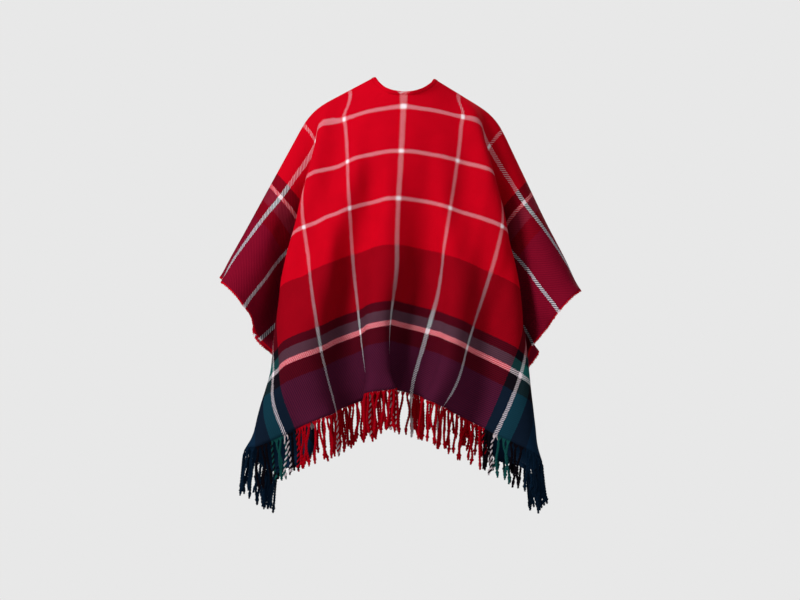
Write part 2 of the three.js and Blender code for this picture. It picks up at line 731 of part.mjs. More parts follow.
const hemList = (row, inward, columns) =>
  columns.map((k) => ({ edge: single(row, k), inside: single(row + inward, k) }));
const upTo = (from, to) => Array.from({ length: to - from + 1 }, (_, n) => from + n);
const backColumns = upTo(0, WIDE - 1).filter((k) => k !== COLUMNS + 1);

const cape = new THREE.Group();
cape.name = "cape";
cape.add(clothWall());
cape.add(binding());
cape.add(fringe("back_fringe", hemList(ROWS - 1, -1, backColumns).reverse(), 0x9c0a1e, 1));
cape.add(fringe("front_fringe_left", hemList(0, 1, upTo(0, COLUMNS)), 0x9c0a1e, 5));
cape.add(fringe("front_fringe_right", hemList(0, 1, upTo(COLUMNS + 1, WIDE - 1)), 0x9c0a1e, 9));

export default cape;
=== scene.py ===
"""A fringed plaid wool cape, filled out as if worn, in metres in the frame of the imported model.

+Z is up, the back faces -Y, the open front faces +Y, and the right arm is on +X. The flat cloth has
two distances: u from the centre line, and v from the shoulder line, minus in front. The cloth's UV
map holds them.
"""

import math

import bmesh
import bpy
import numpy as np
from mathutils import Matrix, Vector
from mathutils.kdtree import KDTree


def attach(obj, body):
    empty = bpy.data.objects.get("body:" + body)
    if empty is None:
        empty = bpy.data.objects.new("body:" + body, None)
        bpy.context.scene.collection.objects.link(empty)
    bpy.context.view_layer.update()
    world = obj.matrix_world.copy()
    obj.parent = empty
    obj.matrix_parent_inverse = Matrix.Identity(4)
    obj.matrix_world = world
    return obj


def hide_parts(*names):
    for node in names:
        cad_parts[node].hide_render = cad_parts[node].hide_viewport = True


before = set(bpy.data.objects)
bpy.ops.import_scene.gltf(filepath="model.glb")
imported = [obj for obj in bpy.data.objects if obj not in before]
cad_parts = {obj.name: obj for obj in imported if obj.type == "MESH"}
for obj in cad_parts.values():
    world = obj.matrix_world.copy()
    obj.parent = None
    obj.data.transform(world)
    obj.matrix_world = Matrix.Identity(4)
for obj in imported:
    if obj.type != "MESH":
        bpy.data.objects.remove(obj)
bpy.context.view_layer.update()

# The cut, as in the solids
HALF_WIDTH = 0.706
HALF_LENGTH = 0.750
NECK_HALF = 0.080
NECK_BACK = 0.030
NECK_FRONT = 0.100
CLOTH = 0.002
SEAM_GAP = 0.0003
BINDING_WIDTH = 0.009
BINDING_THICK = 0.0036
ROLL_OVER = 0.0018  # how far the rolled binding laps over the cloth's edge
FRINGE_LENGTH = 0.098

# The grid of the solid cloth, and how much finer the dressed one is
COLUMNS = 24
BACK_ROWS = 22
FRONT_ROWS = 23
BACK_NECK_ROWS = [0, 0.014, 0.025, NECK_BACK]
FRONT_NECK_ROWS = [0, 0.020, 0.045, 0.070, 0.090, NECK_FRONT]
ROWS = BACK_ROWS + FRONT_ROWS + 1
WIDE = 2 * (COLUMNS + 1)
NECK_ROW = FRONT_ROWS + len(BACK_NECK_ROWS) - 1
NECK_SPREAD = 0.240  # how far out the neck hole pushes the columns
CROWDED = 0.040  # this far out, the rows are as close as at the neck
EVEN = 0.300  # and this much further out they are even
FINER = 4

# The plaid: the colour of each stripe, and the distance where it begins, from the centre line (warp)
# and from the shoulder line (weft)
YARNS = {
    "white": (0.86, 0.74, 0.78),
    "red": (0.56, 0.0005, 0.010),
    "crimson": (0.205, 0.001, 0.006),
    "black": (0.006, 0.004, 0.007),
    "teal": (0.010, 0.100, 0.095),
    "navy": (0.004, 0.017, 0.040),
}
WARP = [
    (0.0, "white"), (0.0043, "red"), (0.1350, "white"), (0.1450, "red"), (0.2760, "white"),
    (0.2860, "red"), (0.418, "black"), (0.444, "white"), (0.456, "teal"), (0.489, "black"),
    (0.530, "navy"),
]
WEFT = [
    (0.0, "red"), (0.0530, "white"), (0.0630, "red"), (0.1680, "white"), (0.1780, "red"),
    (0.2830, "white"), (0.2930, "red"), (0.403, "crimson"), (0.540, "black"), (0.560, "teal"),
    (0.585, "white"), (0.598, "black"), (0.637, "navy"),
]
SETT_SPAN = 0.80
SELVEDGE = 0.7035
TWILL = 0.0062
WEFT_SHARE = 0.66
MIX_POWER = 0.25  # the mean of warp and weft is taken of this power of their colours
STIPPLE = 0.10  # how far single threads show in it
PALE_STIPPLE = 0.70  # and how much more beside a white yarn
PALE_GREEN = 0.4  # a yarn with more green than this is white
RED_ENOUGH = 0.15  # under a white yarn, one with more red than this is red or crimson
DOT_FROM = 0.29  # the smaller, the wider the dots of white yarn
DOT_ON_RED = 0.11
PAINTED_FRINGE_SHADE = (0.72, 0.72, 0.72)  # painted shade, which draws the fringe darker than the brushed cloth

# Unevenness of the wool: grains to a metre and how much each does
EDGE_GRAIN = 60.0
EDGE_WOBBLE = 0.0016
FUZZ_GRAIN = 420.0
EDGE_FUZZ = 0.0070
DYE_GRAIN = 22.0
UNEVEN_DYE = 0.22
FIBRE_GRAIN = 900.0
FIBRE_FLECK = 0.55
FIBRE_HEIGHT = 1.2
NAP_GRAIN = 260.0
NAP_HEIGHT = 1.3
RIDGE_HEIGHT = 0.30
YARN_GRAIN = 1600.0
YARN_HEIGHT = 2.0
BUMP_DISTANCE = 0.0006
ROUGHNESS = 0.86
ROUGH_FLECK = 0.18
SPECULAR = 0.02

# Soft folds, each from (u0, v0) to (u1, v1) with v more than 0 on either side:
# side (1 back, -1 front), u0, v0, u1, v1, width, height (minus for a hollow)
CREASES = [
    (1, -0.085, 0.085, -0.070, 0.400, 0.022, -0.0060),
    (1, -0.030, 0.120, -0.030, 0.360, 0.020, 0.0035),
    (1, 0.065, 0.090, 0.130, 0.600, 0.028, -0.0110),
    (1, 0.090, 0.150, 0.100, 0.430, 0.022, 0.0040),
    (1, 0.170, 0.100, 0.160, 0.380, 0.026, -0.0050),
    (1, -0.170, 0.110, -0.175, 0.420, 0.026, -0.0050),
    (1, -0.230, 0.140, -0.215, 0.500, 0.022, 0.0045),
    (1, 0.225, 0.160, 0.230, 0.520, 0.022, 0.0045),
    (1, -0.320, 0.230, -0.290, 0.640, 0.024, -0.0060),
    (1, 0.330, 0.240, 0.310, 0.640, 0.024, -0.0060),
    (1, -0.420, 0.060, -0.600, 0.180, 0.020, -0.0045),
    (1, 0.420, 0.060, 0.600, 0.180, 0.020, -0.0045),
    (1, -0.480, 0.160, -0.640, 0.330, 0.022, 0.0045),
    (1, 0.480, 0.160, 0.640, 0.330, 0.022, 0.0045),
    (1, -0.400, 0.380, -0.440, 0.700, 0.022, -0.0050),
    (1, 0.410, 0.380, 0.460, 0.700, 0.022, -0.0050),
    (1, 0.100, 0.420, 0.135, 0.860, 0.026, 0.0100),
    (1, 0.145, 0.400, 0.210, 0.860, 0.028, -0.0130),
    (-1, -0.110, 0.140, -0.130, 0.480, 0.024, -0.0060),
    (-1, 0.110, 0.140, 0.130, 0.480, 0.024, -0.0060),
    (-1, -0.200, 0.120, -0.220, 0.500, 0.024, 0.0045),
    (-1, 0.200, 0.120, 0.220, 0.500, 0.024, 0.0045),
    (-1, -0.320, 0.230, -0.290, 0.640, 0.024, -0.0055),
    (-1, 0.320, 0.230, 0.290, 0.640, 0.024, -0.0055),
    (-1, -0.440, 0.070, -0.610, 0.200, 0.020, -0.0045),
    (-1, 0.440, 0.070, 0.610, 0.200, 0.020, -0.0045),
]
CREASE_FULLNESS = 0.8  # the smaller, the nearer to its ends a crease keeps its height

# A strand of the fringe: a fan of warp ends, two twisted plies, a knot and a tuft
STRAND_FAN = 0.010
FAN_YARNS = 7
FAN_RADII = [0.0007, 0.00085, 0.0007]
FAN_START = 0.0002  # how far out of the hem its warp ends begin
FAN_MIDDLE = 0.45
FAN_IN = 0.25  # how far the fan has drawn together there
FAN_HEAD = 0.0016  # how wide it is inside the twist, and how far it reaches into it
FAN_REACH = 0.002
OUT_LEAN = 0.15  # how much it leans out of the hem instead of hanging straight down
ALONG_SPREAD = 0.1  # how unevenly the strands follow one another, and how much lengths differ
LENGTH_SPREAD = 0.07
PLY_RADIUS = 0.0019
PLY_OFFSET = 0.0017
TWIST_PITCH = 0.0135
SAMPLES_PER_TURN = 7
PLY_COLOUR_STEP = 0.005  # how far apart in the plaid its plies take their colours
GATHER_START = 0.35  # how wide the twist begins, and how soon it is full
GATHER_RATE = 9
PLY_LEAST = 0.8  # a ply's thickness without any of it, and what it adds
PLY_MORE = 0.2
KNOT_AT = 0.88  # places down the strand are shares of its length
KNOT_LENGTH = 0.022
KNOT_SWELL = 0.9  # how much thicker the plies are in the knot, and how much further apart
KNOT_OPENS = 0.5
TAPER_FROM = 0.97
TAPER = 0.55
TUFT_AT = 0.985
TUFT_LENGTH = 0.03
TUFT_YARNS = 5
TUFT_RADII = [0.0008, 0.0008, 0.0004]
TUFT_SPREAD = 0.0022
TUFT_DROP = 0.0015  # where a tuft bulges, and how far
TUFT_BULGE = 0.0012
TUFT_UNEVEN = 0.3
SWAY = 0.005  # sideways, at the tip
SWAY_STEP = 0.9  # how far one strand's sway is from the next one's, in radians
SWING = 0.004  # in and out, at the tip
WAVE = 0.0022
WAVE_SPREAD = 0.8
WAVE_SPAN = 6.5  # how much of a wave one strand holds, in radians
WAVE_STEP = 2.4  # how much later the next strand's wave begins
STRAND_SIDES = 5

# The short weft ends at the side edges
END_SPACING = 0.0022
END_REACH = 0.0022
END_LEAN = 0.0012
END_DROP = 0.0008
END_START = 0.0006  # how far inside the edge they begin
END_SPREAD = 0.45
END_KNEE = 0.6  # the shares of reach and lean at their middle
END_KNEE_LEAN = 0.5
END_COLOUR_OUT = 0.002  # how far beyond the edge in the plaid they take their colours
END_RADII = [0.0007, 0.00075, 0.0004]
END_SIDES = 4

# The binding's round section and its stitches
SECTION_SIDES = 14
SECTION_ACROSS = 0.8  # under 1, the section is more square than round
SECTION_THROUGH = 0.7
STITCH = 0.0028
STITCH_STEP = 0.0042
STITCH_RADIUS = 0.00028
STITCH_IN = 0.0012  # how far they lie inside the cloth's edge
STITCH_RISE = 0.0003
STITCH_SIDES = 4
THREAD_PLACE = (0.06, 0.02)  # a red place of the plaid

# The studio
FLOOR_Z = -1.40
FLOOR_RADIUS = 1.5
FLOOR_SIDES = 96
FLOOR_TONE = 0.78
FLOOR_GRAIN = 6.0
FLOOR_FLECK = 0.02
FLOOR_ROUGHNESS = 0.7
BACKGROUND = 0.807
WORLD_STRENGTH = 0.16
LIT_MIDDLE = (0, 0, -0.5)
LIGHTS = [  # name, place, size, power
    ("key", (-3.0, -2.7, 2.3), 1.4, 225),
    ("fill", (2.8, -3.2, 0.2), 2.6, 30),
    ("front key", (1.8, 3.6, 1.8), 2.2, 110),
]

# The camera looks along +Y from behind, level with the chest
METRES_PER_PIXEL = 0.00244
PHOTO_WIDTH = 800
PHOTO_CENTRE = (400, 300)
ORIGIN_PIXEL = (404.5, 79)
CAMERA_AWAY = 9.0
SENSOR = 36.0


def node_of(row, column):
    """A grid node's key. Behind the neck the two centre columns are one."""
    if row >= NECK_ROW and column == COLUMNS + 1:
        column = COLUMNS
    return row, column


def flat_cloth():
    """u and v of each grid node. Rows crowd together round the neck hole only."""

    def row_place(r, rows, neck_rows):
        last = len(neck_rows) - 1
        if r <= last:
            return neck_rows[r]
        return neck_rows[last] + (HALF_LENGTH - neck_rows[last]) * (r - last) / (rows - last)

    U = np.zeros((ROWS, WIDE))
    V = np.zeros((ROWS, WIDE))
    for i in range(ROWS):
        back = i >= FRONT_ROWS
        r = abs(i - FRONT_ROWS)
        rows = BACK_ROWS if back else FRONT_ROWS
        depth = NECK_BACK if back else NECK_FRONT
        v_neck = row_place(r, rows, BACK_NECK_ROWS if back else FRONT_NECK_ROWS)
        v_even = HALF_LENGTH * r / rows
        hole = NECK_HALF * math.sqrt(1 - (v_neck / depth) ** 2) if v_neck < depth else 0
        for k in range(WIDE):
            step = COLUMNS - k if k <= COLUMNS else k - COLUMNS - 1
            out = step / COLUMNS * HALF_WIDTH
            t = min(1, max(0, (out - CROWDED) / EVEN))
            v = v_neck + (v_even - v_neck) * t * t * (3 - 2 * t)
            u = out + hole * max(0, 1 - out / NECK_SPREAD)
            U[i, k] = -u if k <= COLUMNS else u
            V[i, k] = v if back else -v
    return U, V


def middle_surface(node):
    """The points and triangles of the surface in the middle of the solid cloth's wall."""
    mesh = bmesh.new()
    mesh.from_mesh(node.data)
    bmesh.ops.remove_doubles(mesh, verts=mesh.verts, dist=1e-5)
    mesh.verts.ensure_lookup_table()
    places = [v.co.copy() for v in mesh.verts]
    tree = KDTree(len(places))
    for n, place in enumerate(places):
        tree.insert(place, n)
    tree.balance()
    partner = []
    for n, place in enumerate(places):
        near = [found for found in tree.find_n(place, 2) if found[1] != n]
        partner.append(near[0][1])
    sheets = [[v.index for v in face.verts] for face in mesh.faces]
    sheets = [f for f in sheets if not any(partner[a] in f for a in f)]
    mesh.free()
    above = side_of_sheet(sheets, 0)
    centre = sum(1 if outward(f, places) > 0 else -1 for f in above)
    outer = above if centre > 0 else [f for f in sheets if f not in above]
    points = {a: (places[a] + places[partner[a]]) / 2 for f in outer for a in f}
    return points, outer


def outward(face, places):
    """More than 0 where a face turns away from the cape's upright middle line."""
    a, b, c = (places[n] for n in face)
    normal = (b - a).cross(c - a)
    return normal.x * a.x + normal.y * a.y


def side_of_sheet(faces, first):
    """The faces joined to face number first."""
    at = {}
    for n, face in enumerate(faces):
        for a in face:
            at.setdefault(a, []).append(n)
    seen = {first}
    waiting = [first]
    while waiting:
        for a in faces[waiting.pop()]:
            for n in at[a]:
                if n not in seen:
                    seen.add(n)
                    waiting.append(n)
    return [faces[n] for n in sorted(seen)]


def rim_keys():
    """The grid nodes round the cloth's edge, in the order in which its faces pass them."""
    keys = [(i, 0) for i in range(ROWS)]
    keys += [node_of(ROWS - 1, k) for k in range(1, WIDE) if k != COLUMNS + 1]
    keys += [(i, WIDE - 1) for i in range(ROWS - 2, -1, -1)]
    keys += [(0, k) for k in range(WIDE - 2, COLUMNS, -1)]
    keys += [(i, COLUMNS + 1) for i in range(1, NECK_ROW)]
    keys += [(i, COLUMNS) for i in range(NECK_ROW, -1, -1)]
    keys += [(0, k) for k in range(COLUMNS - 1, 0, -1)]
    return keys


def read_grid(node):
    """The solid cloth's middle surface as rows and columns of places."""
    points, faces = middle_surface(node)
    across = {}
    for a, b, c in faces:
        across[a, b] = c
        across[b, c] = a
        across[c, a] = b
    after = {a: b for a, b in across if (b, a) not in across}
    left_wrist = min((n for n in after if abs(points[n].y) < 1e-5), key=lambda n: points[n].x)
    keys = rim_keys()
    start = keys.index((FRONT_ROWS, 0))
    at = {}
    n = left_wrist
    for step in range(len(keys)):
        at[keys[(start + step) % len(keys)]] = n
        n = after[n]
    if n != left_wrist:
        raise ValueError("the cloth's edge has another number of nodes than the grid")
    used = set(at.values())

    def beyond(a, b):
        return [across.get((a, b)), across.get((b, a))]

    for first in (0, COLUMNS + 1):
        for k in range(first, first + COLUMNS):
            for i in range(ROWS - 1):
                key = node_of(i + 1, k + 1)
                if key in at:
                    continue
                a, b, d = at[node_of(i, k)], at[node_of(i + 1, k)], at[node_of(i, k + 1)]
                near = beyond(a, b) + beyond(a, d) + beyond(b, d)
                found = [q for q in near if q is not None and q not in used]
                at[key] = found[0]
                used.add(found[0])
    grid = np.zeros((ROWS, WIDE, 3))
    for i in range(ROWS):
        for k in range(WIDE):
            grid[i, k] = points[at[node_of(i, k)]]
    return grid


def refine(values, before, after):
    """Points on smooth curves through values[n], FINER to a step.

    The curves go on to before and after at their ends.
    """
    line = np.concatenate([before[None], values, after[None]])
    flat = line[..., 3:5]
    step = np.maximum(np.linalg.norm(np.diff(flat, axis=0), axis=-1, keepdims=True), 1e-6)
    slope = np.diff(line, axis=0) / step
    tangent = (slope[:-1] * step[1:] + slope[1:] * step[:-1]) / (step[:-1] + step[1:])
    length = step[1:-1]
    rows = []
    for n in range(len(values) - 1):
        for s in np.arange(FINER) / FINER:
            rows.append(
                (2 * s**3 - 3 * s**2 + 1) * values[n]
                + (s**3 - 2 * s**2 + s) * length[n] * tangent[n]
                + (3 * s**2 - 2 * s**3) * values[n + 1]
                + (s**3 - s**2) * length[n] * tangent[n + 1]
            )
    rows.append(values[-1])
    return np.array(rows)


def finer_cloth(grid, U, V):
    """The grid FINER times as dense: the left and right halves, each point as [x, y, z, u, v]."""
    data = np.concatenate([grid, U[..., None], V[..., None]], axis=-1)
    tall = refine(data, 2 * data[0] - data[1], 2 * data[-1] - data[-2])
    for near, far in ((COLUMNS, COLUMNS + 1), (COLUMNS + 1, COLUMNS)):
        neck = data[: NECK_ROW + 1, near]
        back = data[NECK_ROW:, near]
        over = data[NECK_ROW - 1, far]
        tall[: NECK_ROW * FINER + 1, near] = refine(neck, 2 * neck[0] - neck[1], over)
        ends = 2 * back[0] - back[1], 2 * back[-1] - back[-2]
        tall[NECK_ROW * FINER :, near] = refine(back, *ends)
    joined = (np.arange(len(tall)) >= NECK_ROW * FINER)[:, None]
    left = tall[:, : COLUMNS + 1].swapaxes(0, 1)
    right = tall[:, COLUMNS + 1 :].swapaxes(0, 1)
    left_end = np.where(joined, right[1], 2 * left[-1] - left[-2])
    right_end = np.where(joined, left[-2], 2 * right[0] - right[1])
    left = refine(left, 2 * left[0] - left[1], left_end).swapaxes(0, 1)
    right = refine(right, right_end, 2 * right[-1] - right[-2]).swapaxes(0, 1)
    return left, right


def unit(a):
    return a / np.maximum(np.linalg.norm(a, axis=-1, keepdims=True), 1e-12)


def normals_of(half, other, is_left):
    """Outward normals of one half, which agree with the other half's on the centre back."""
    p = half[..., :3]
    down = np.gradient(p, axis=0)
    over = np.gradient(p, axis=1)
    n = unit(np.cross(down, over))
    if other is None:
        return n
    start = NECK_ROW * FINER
    edge, theirs = (-1, 0) if is_left else (0, -1)
    n[start:, edge] = unit(n[start:, edge] + other[start:, theirs])
    return n


def press_creases(halves, normals):
    """Presses the listed soft folds into both halves, on the back and on the front."""
    for half, normal in zip(halves, normals):
        u, v = half[..., 3], half[..., 4]
        move = np.zeros(u.shape)
        for side, u0, v0, u1, v1, width, depth in CREASES:
            along = np.array([u1 - u0, v1 - v0])
            length = np.linalg.norm(along)
            along = along / length
            du, dv = u - u0, side * v - v0
            reach = (du * along[0] + dv * along[1]) / length
            off = (dv * along[0] - du * along[1]) / width
            bow = np.clip(4 * reach * (1 - reach), 0, 1) ** CREASE_FULLNESS
            move += depth * bow * np.exp(-(off**2))
        half[..., :3] += normal * move[..., None]


class Cloth:
    """The dressed cloth: both halves of its middle surface, with normals and flat places."""

    def __init__(self, node):
        U, V = flat_cloth()
        self.halves = finer_cloth(read_grid(node), U, V)
        first = [normals_of(half, None, None) for half in self.halves]
        self.normals = [
            normals_of(self.halves[0], first[1], True),
            normals_of(self.halves[1], first[0], False),
        ]
        press_creases(self.halves, self.normals)
        self.rows = len(self.halves[0])
        self.neck = NECK_ROW * FINER

    def edge(self, side, row, column, inward):
        """A frame on the edge: its place and way out, the normal, and the flat place and way out."""
        half = self.halves[side]
        here = half[row, column]
        inside = half[row + inward[0], column + inward[1]]
        return {
            "place": here[:3],
            "out": here[:3] - inside[:3],
            "normal": self.normals[side][row, column],
            "flat": here[3:5],
            "flat_out": unit(here[3:5] - inside[3:5]),
        }


def squared_frames(frames):
    """Makes each frame's ways square to the line through the frames."""
    places = np.array([f["place"] for f in frames])
    along = unit(np.gradient(places, axis=0))
    for f, a in zip(frames, along):
        f["along"] = a
        f["normal"] = unit(f["normal"] - a * np.dot(f["normal"], a))
        out = f["out"] - a * np.dot(f["out"], a)
        f["out"] = unit(out - f["normal"] * np.dot(out, f["normal"]))
    return frames


def set_uvs(mesh, uvs):
    """Gives the mesh the UV map that the materials read: one flat place for each vertex."""
    corner = np.zeros(len(mesh.loops), dtype=np.int32)
    mesh.loops.foreach_get("vertex_index", corner)
    layer = mesh.uv_layers.new(name="cloth")
    layer.data.foreach_set("uv", np.asarray(uvs, dtype=np.float32)[corner].ravel())


def plain_points(points):
    return [tuple(map(float, p)) for p in points]


def piece(name, vertices, faces, uvs, material):
    """A smooth mesh object at the origin. uvs has one flat place for each vertex."""
    mesh = bpy.data.meshes.new(name)
    mesh.from_pydata(plain_points(vertices), [], [tuple(map(int, f)) for f in faces])
    set_uvs(mesh, uvs)
    mesh.polygons.foreach_set("use_smooth", [True] * len(mesh.polygons))
    mesh.validate()
    obj = bpy.data.objects.new(name, mesh)
    bpy.context.scene.collection.objects.link(obj)
    mesh.materials.append(material)
    return obj


def cloth_shell(cloth, material):
    """The cloth as one closed thin shell, welded down the centre back."""
    width = COLUMNS * FINER + 1
    count = cloth.rows * width * 2
    number = np.arange(count).reshape(2, cloth.rows, width)
    number[1, cloth.neck :, 0] = number[0, cloth.neck :, -1]
    points = np.stack([half[..., :3] for half in cloth.halves]).reshape(-1, 3)
    normals = np.stack(cloth.normals).reshape(-1, 3)
    flat = np.stack([half[..., 3:5] for half in cloth.halves]).reshape(-1, 2)
    quads = []
    for n in number:
        corners = [n[:-1, :-1], n[1:, :-1], n[1:, 1:], n[:-1, 1:]]
        quads.append(np.stack(corners, axis=-1).reshape(-1, 4))
    quads = np.concatenate(quads)
    used = np.unique(quads)
    order = np.full(count, -1)
    order[used] = np.arange(len(used))
    outer = order[quads]
    inner = outer[:, ::-1] + len(used)
    edges = {(a, b) for q in outer.tolist() for a, b in zip(q, q[1:] + q[:1])}
    rim = [(b, a) for a, b in edges if (b, a) not in edges]
    rim = [(a, b, b + len(used), a + len(used)) for a, b in rim]
    lift = normals[used] * CLOTH / 2
    shell = np.concatenate([points[used] + lift, points[used] - lift])
    faces = outer.tolist() + inner.tolist() + rim
    return piece("cape", shell, faces, np.tile(flat[used], (2, 1)), material)


def fine_place(polyline, t):
    """The frame at step t of a list of frames, t counted in fine steps."""
    n = min(int(t), len(polyline) - 2)
    s = t - n
    a, b = polyline[n], polyline[n + 1]
    mixed = {key: a[key] * (1 - s) + b[key] * s for key in ("place", "flat")}
    for key in ("out", "normal", "along", "flat_out"):
        mixed[key] = unit(a[key] * (1 - s) + b[key] * s)
    return mixed


def opening_frames(cloth):
    """Frames up the left front edge, round the neck and down the right front edge."""
    left = [cloth.edge(0, row, -1, (0, -1)) for row in range(cloth.neck)]
    middle = [cloth.edge(0, cloth.neck, -1, (1, 0))]
    right = [cloth.edge(1, row, 0, (0, 1)) for row in range(cloth.neck - 1, -1, -1)]
    for f in left[-FINER:] + right[:FINER]:
        f["out"] = f["out"] + middle[0]["out"]
    return squared_frames(left + middle + right)


def hem_frames(cloth, name):
    """Frames along a hem, in the order in which the solids' strands are counted."""
    last = COLUMNS * FINER
    if name == "back_fringe":
        left = [cloth.edge(0, -1, column, (-1, 0)) for column in range(last + 1)]
        right = [cloth.edge(1, -1, column, (-1, 0)) for column in range(1, last + 1)]
        return squared_frames((left + right)[::-1])
    side = 0 if name == "front_fringe_left" else 1
    return squared_frames([cloth.edge(side, 0, column, (1, 0)) for column in range(last + 1)])


def side_frames(cloth, side):
    """Frames down one side edge, front hem to back hem."""
    column, inward = (0, (0, 1)) if side == 0 else (-1, (0, -1))
    rows = range(1, cloth.rows - 1)
    return squared_frames([cloth.edge(side, row, column, inward) for row in rows])


def binding_roll(cloth, material):
    """The self fabric rolled over the front edges and the neck: one closed round-sided strip."""
    frames = opening_frames(cloth)
    section = []
    sides = SECTION_SIDES
    for n in range(sides):
        angle = 2 * math.pi * n / sides
        x, y = math.cos(angle), math.sin(angle)
        across = math.copysign(abs(x) ** SECTION_ACROSS, x)
        across = (BINDING_WIDTH + ROLL_OVER) / 2 * (1 + across) - ROLL_OVER
        thick = BINDING_THICK / 2 * math.copysign(abs(y) ** SECTION_THROUGH, y)
        section.append((across, thick))
    vertices, uvs, faces = [], [], []
    for f in frames:
        for across, thick in section:
            vertices.append(f["place"] + f["out"] * (SEAM_GAP + across) + f["normal"] * thick)
            uvs.append(f["flat"] + f["flat_out"] * across)
    for n in range(len(frames) - 1):
        for s in range(sides):
            a, b = n * sides + s, n * sides + (s + 1) % sides
            faces.append((a, b, b + sides, a + sides))
    end = (len(frames) - 1) * sides
    faces.append(tuple(range(sides - 1, -1, -1)))
    faces.append(tuple(end + s for s in range(sides)))
    roll = piece("rolled_binding", vertices, faces, uvs, material)
    face_outwards(roll)
    return roll


def face_outwards(obj):
    """Turns all faces of a closed mesh outwards."""
    mesh = bmesh.new()
    mesh.from_mesh(obj.data)
    bmesh.ops.recalc_face_normals(mesh, faces=mesh.faces)
    mesh.to_mesh(obj.data)
    mesh.free()


def scatter(n, seed):
    """The solids' repeatable scatter from -1 to 1 for strand n."""
    s = math.sin(n * 12.9898 + seed * 78.233) * 43758.5453
    return 2 * (s - math.floor(s)) - 1


class Yarns:
    """A bundle of yarn paths with a radius and a flat place at each point."""

    def __init__(self):
        self.points, self.radii, self.flats, self.edges = [], [], [], []

    def add(self, path, radius, flats):
        start = len(self.points)
        count = len(path)
        self.points.extend(path)
        self.radii.extend([radius] * count if np.isscalar(radius) else radius)
        self.flats.extend(flats)
        self.edges.extend((start + n, start + n + 1) for n in range(count - 1))

    def made(self, name, sides, material):
        """The yarns as tubes, made by a node tree that ends as a plain mesh."""
        mesh = bpy.data.meshes.new(name + "_paths")
        mesh.from_pydata(plain_points(self.points), self.edges, [])
        radius = mesh.attributes.new("yarn_radius", "FLOAT", "POINT")
        radius.data.foreach_set("value", np.asarray(self.radii, dtype=np.float32))
        flat = mesh.attributes.new("flat_place", "FLOAT_VECTOR", "POINT")
        places = np.zeros((len(self.flats), 3), dtype=np.float32)
        places[:, :2] = self.flats
        flat.data.foreach_set("vector", places.ravel())
        paths = bpy.data.objects.new(name + "_paths", mesh)
        bpy.context.scene.collection.objects.link(paths)
        tree = yarn_tree()
        modifier = paths.modifiers.new("yarn", "NODES")
        modifier.node_group = tree
        for socket in tree.interface.items_tree:
            if socket.item_type == "SOCKET" and socket.in_out == "INPUT":
                if socket.name == "Sides":
                    modifier[socket.identifier] = sides
                if socket.name == "Yarn":
                    modifier[socket.identifier] = material
        depsgraph = bpy.context.evaluated_depsgraph_get()
        plain = bpy.data.meshes.new_from_object(paths.evaluated_get(depsgraph))
        plain.name = name
        bpy.data.objects.remove(paths)
        obj = bpy.data.objects.new(name, plain)
        bpy.context.scene.collection.objects.link(obj)
        face_outwards(obj)
        flat_attribute_to_uv(obj)
        return obj


def flat_attribute_to_uv(obj):
    """Copies the flat place of each point to the UV map that the cloth's material reads."""
    mesh = obj.data
    flat = np.zeros(len(mesh.vertices) * 3, dtype=np.float32)
    mesh.attributes["flat_place"].data.foreach_get("vector", flat)
    set_uvs(mesh, flat.reshape(-1, 3)[:, :2])
    for name in ("flat_place", "yarn_radius"):
        if name in mesh.attributes:
            mesh.attributes.remove(mesh.attributes[name])


def yarn_tree():
    """Tubes along edges: Mesh to Curve, Curve to Mesh at the yarn's radius, and a material."""
    if "Yarn tubes" in bpy.data.node_groups:
        return bpy.data.node_groups["Yarn tubes"]
    tree = bpy.data.node_groups.new("Yarn tubes", "GeometryNodeTree")
    tree.interface.new_socket("Paths", in_out="INPUT", socket_type="NodeSocketGeometry")
    sides = tree.interface.new_socket("Sides", in_out="INPUT", socket_type="NodeSocketInt")
    sides.default_value = STRAND_SIDES
    tree.interface.new_socket("Yarn", in_out="INPUT", socket_type="NodeSocketMaterial")
    tree.interface.new_socket("Tubes", in_out="OUTPUT", socket_type="NodeSocketGeometry")

    def add(kind, **settings):
        node = tree.nodes.new(kind)
        for key, value in settings.items():
            setattr(node, key, value)
        return node

    given = add("NodeGroupInput")
    curve = add("GeometryNodeMeshToCurve")
    radius = add("GeometryNodeInputNamedAttribute", data_type="FLOAT")
    radius.inputs["Name"].default_value = "yarn_radius"
    circle = add("GeometryNodeCurvePrimitiveCircle", mode="RADIUS")
    circle.inputs["Radius"].default_value = 1.0
    tube = add("GeometryNodeCurveToMesh")
    tube.inputs["Fill Caps"].default_value = True
    smooth = add("GeometryNodeSetShadeSmooth")
    real = add("GeometryNodeRealizeInstances")
    finish = add("GeometryNodeSetMaterial")
    out = add("NodeGroupOutput")
    link = tree.links.new
    link(given.outputs["Paths"], curve.inputs["Mesh"])
    link(given.outputs["Sides"], circle.inputs["Resolution"])
    link(curve.outputs["Curve"], tube.inputs["Curve"])
    link(circle.outputs["Curve"], tube.inputs["Profile Curve"])
    link(radius.outputs["Attribute"], tube.inputs["Scale"])
    link(tube.outputs["Mesh"], smooth.inputs["Geometry"])
    link(smooth.outputs["Geometry"], real.inputs["Geometry"])
    link(real.outputs["Geometry"], finish.inputs["Geometry"])
    link(given.outputs["Yarn"], finish.inputs["Material"])
    link(finish.outputs["Geometry"], out.inputs["Tubes"])
    return tree


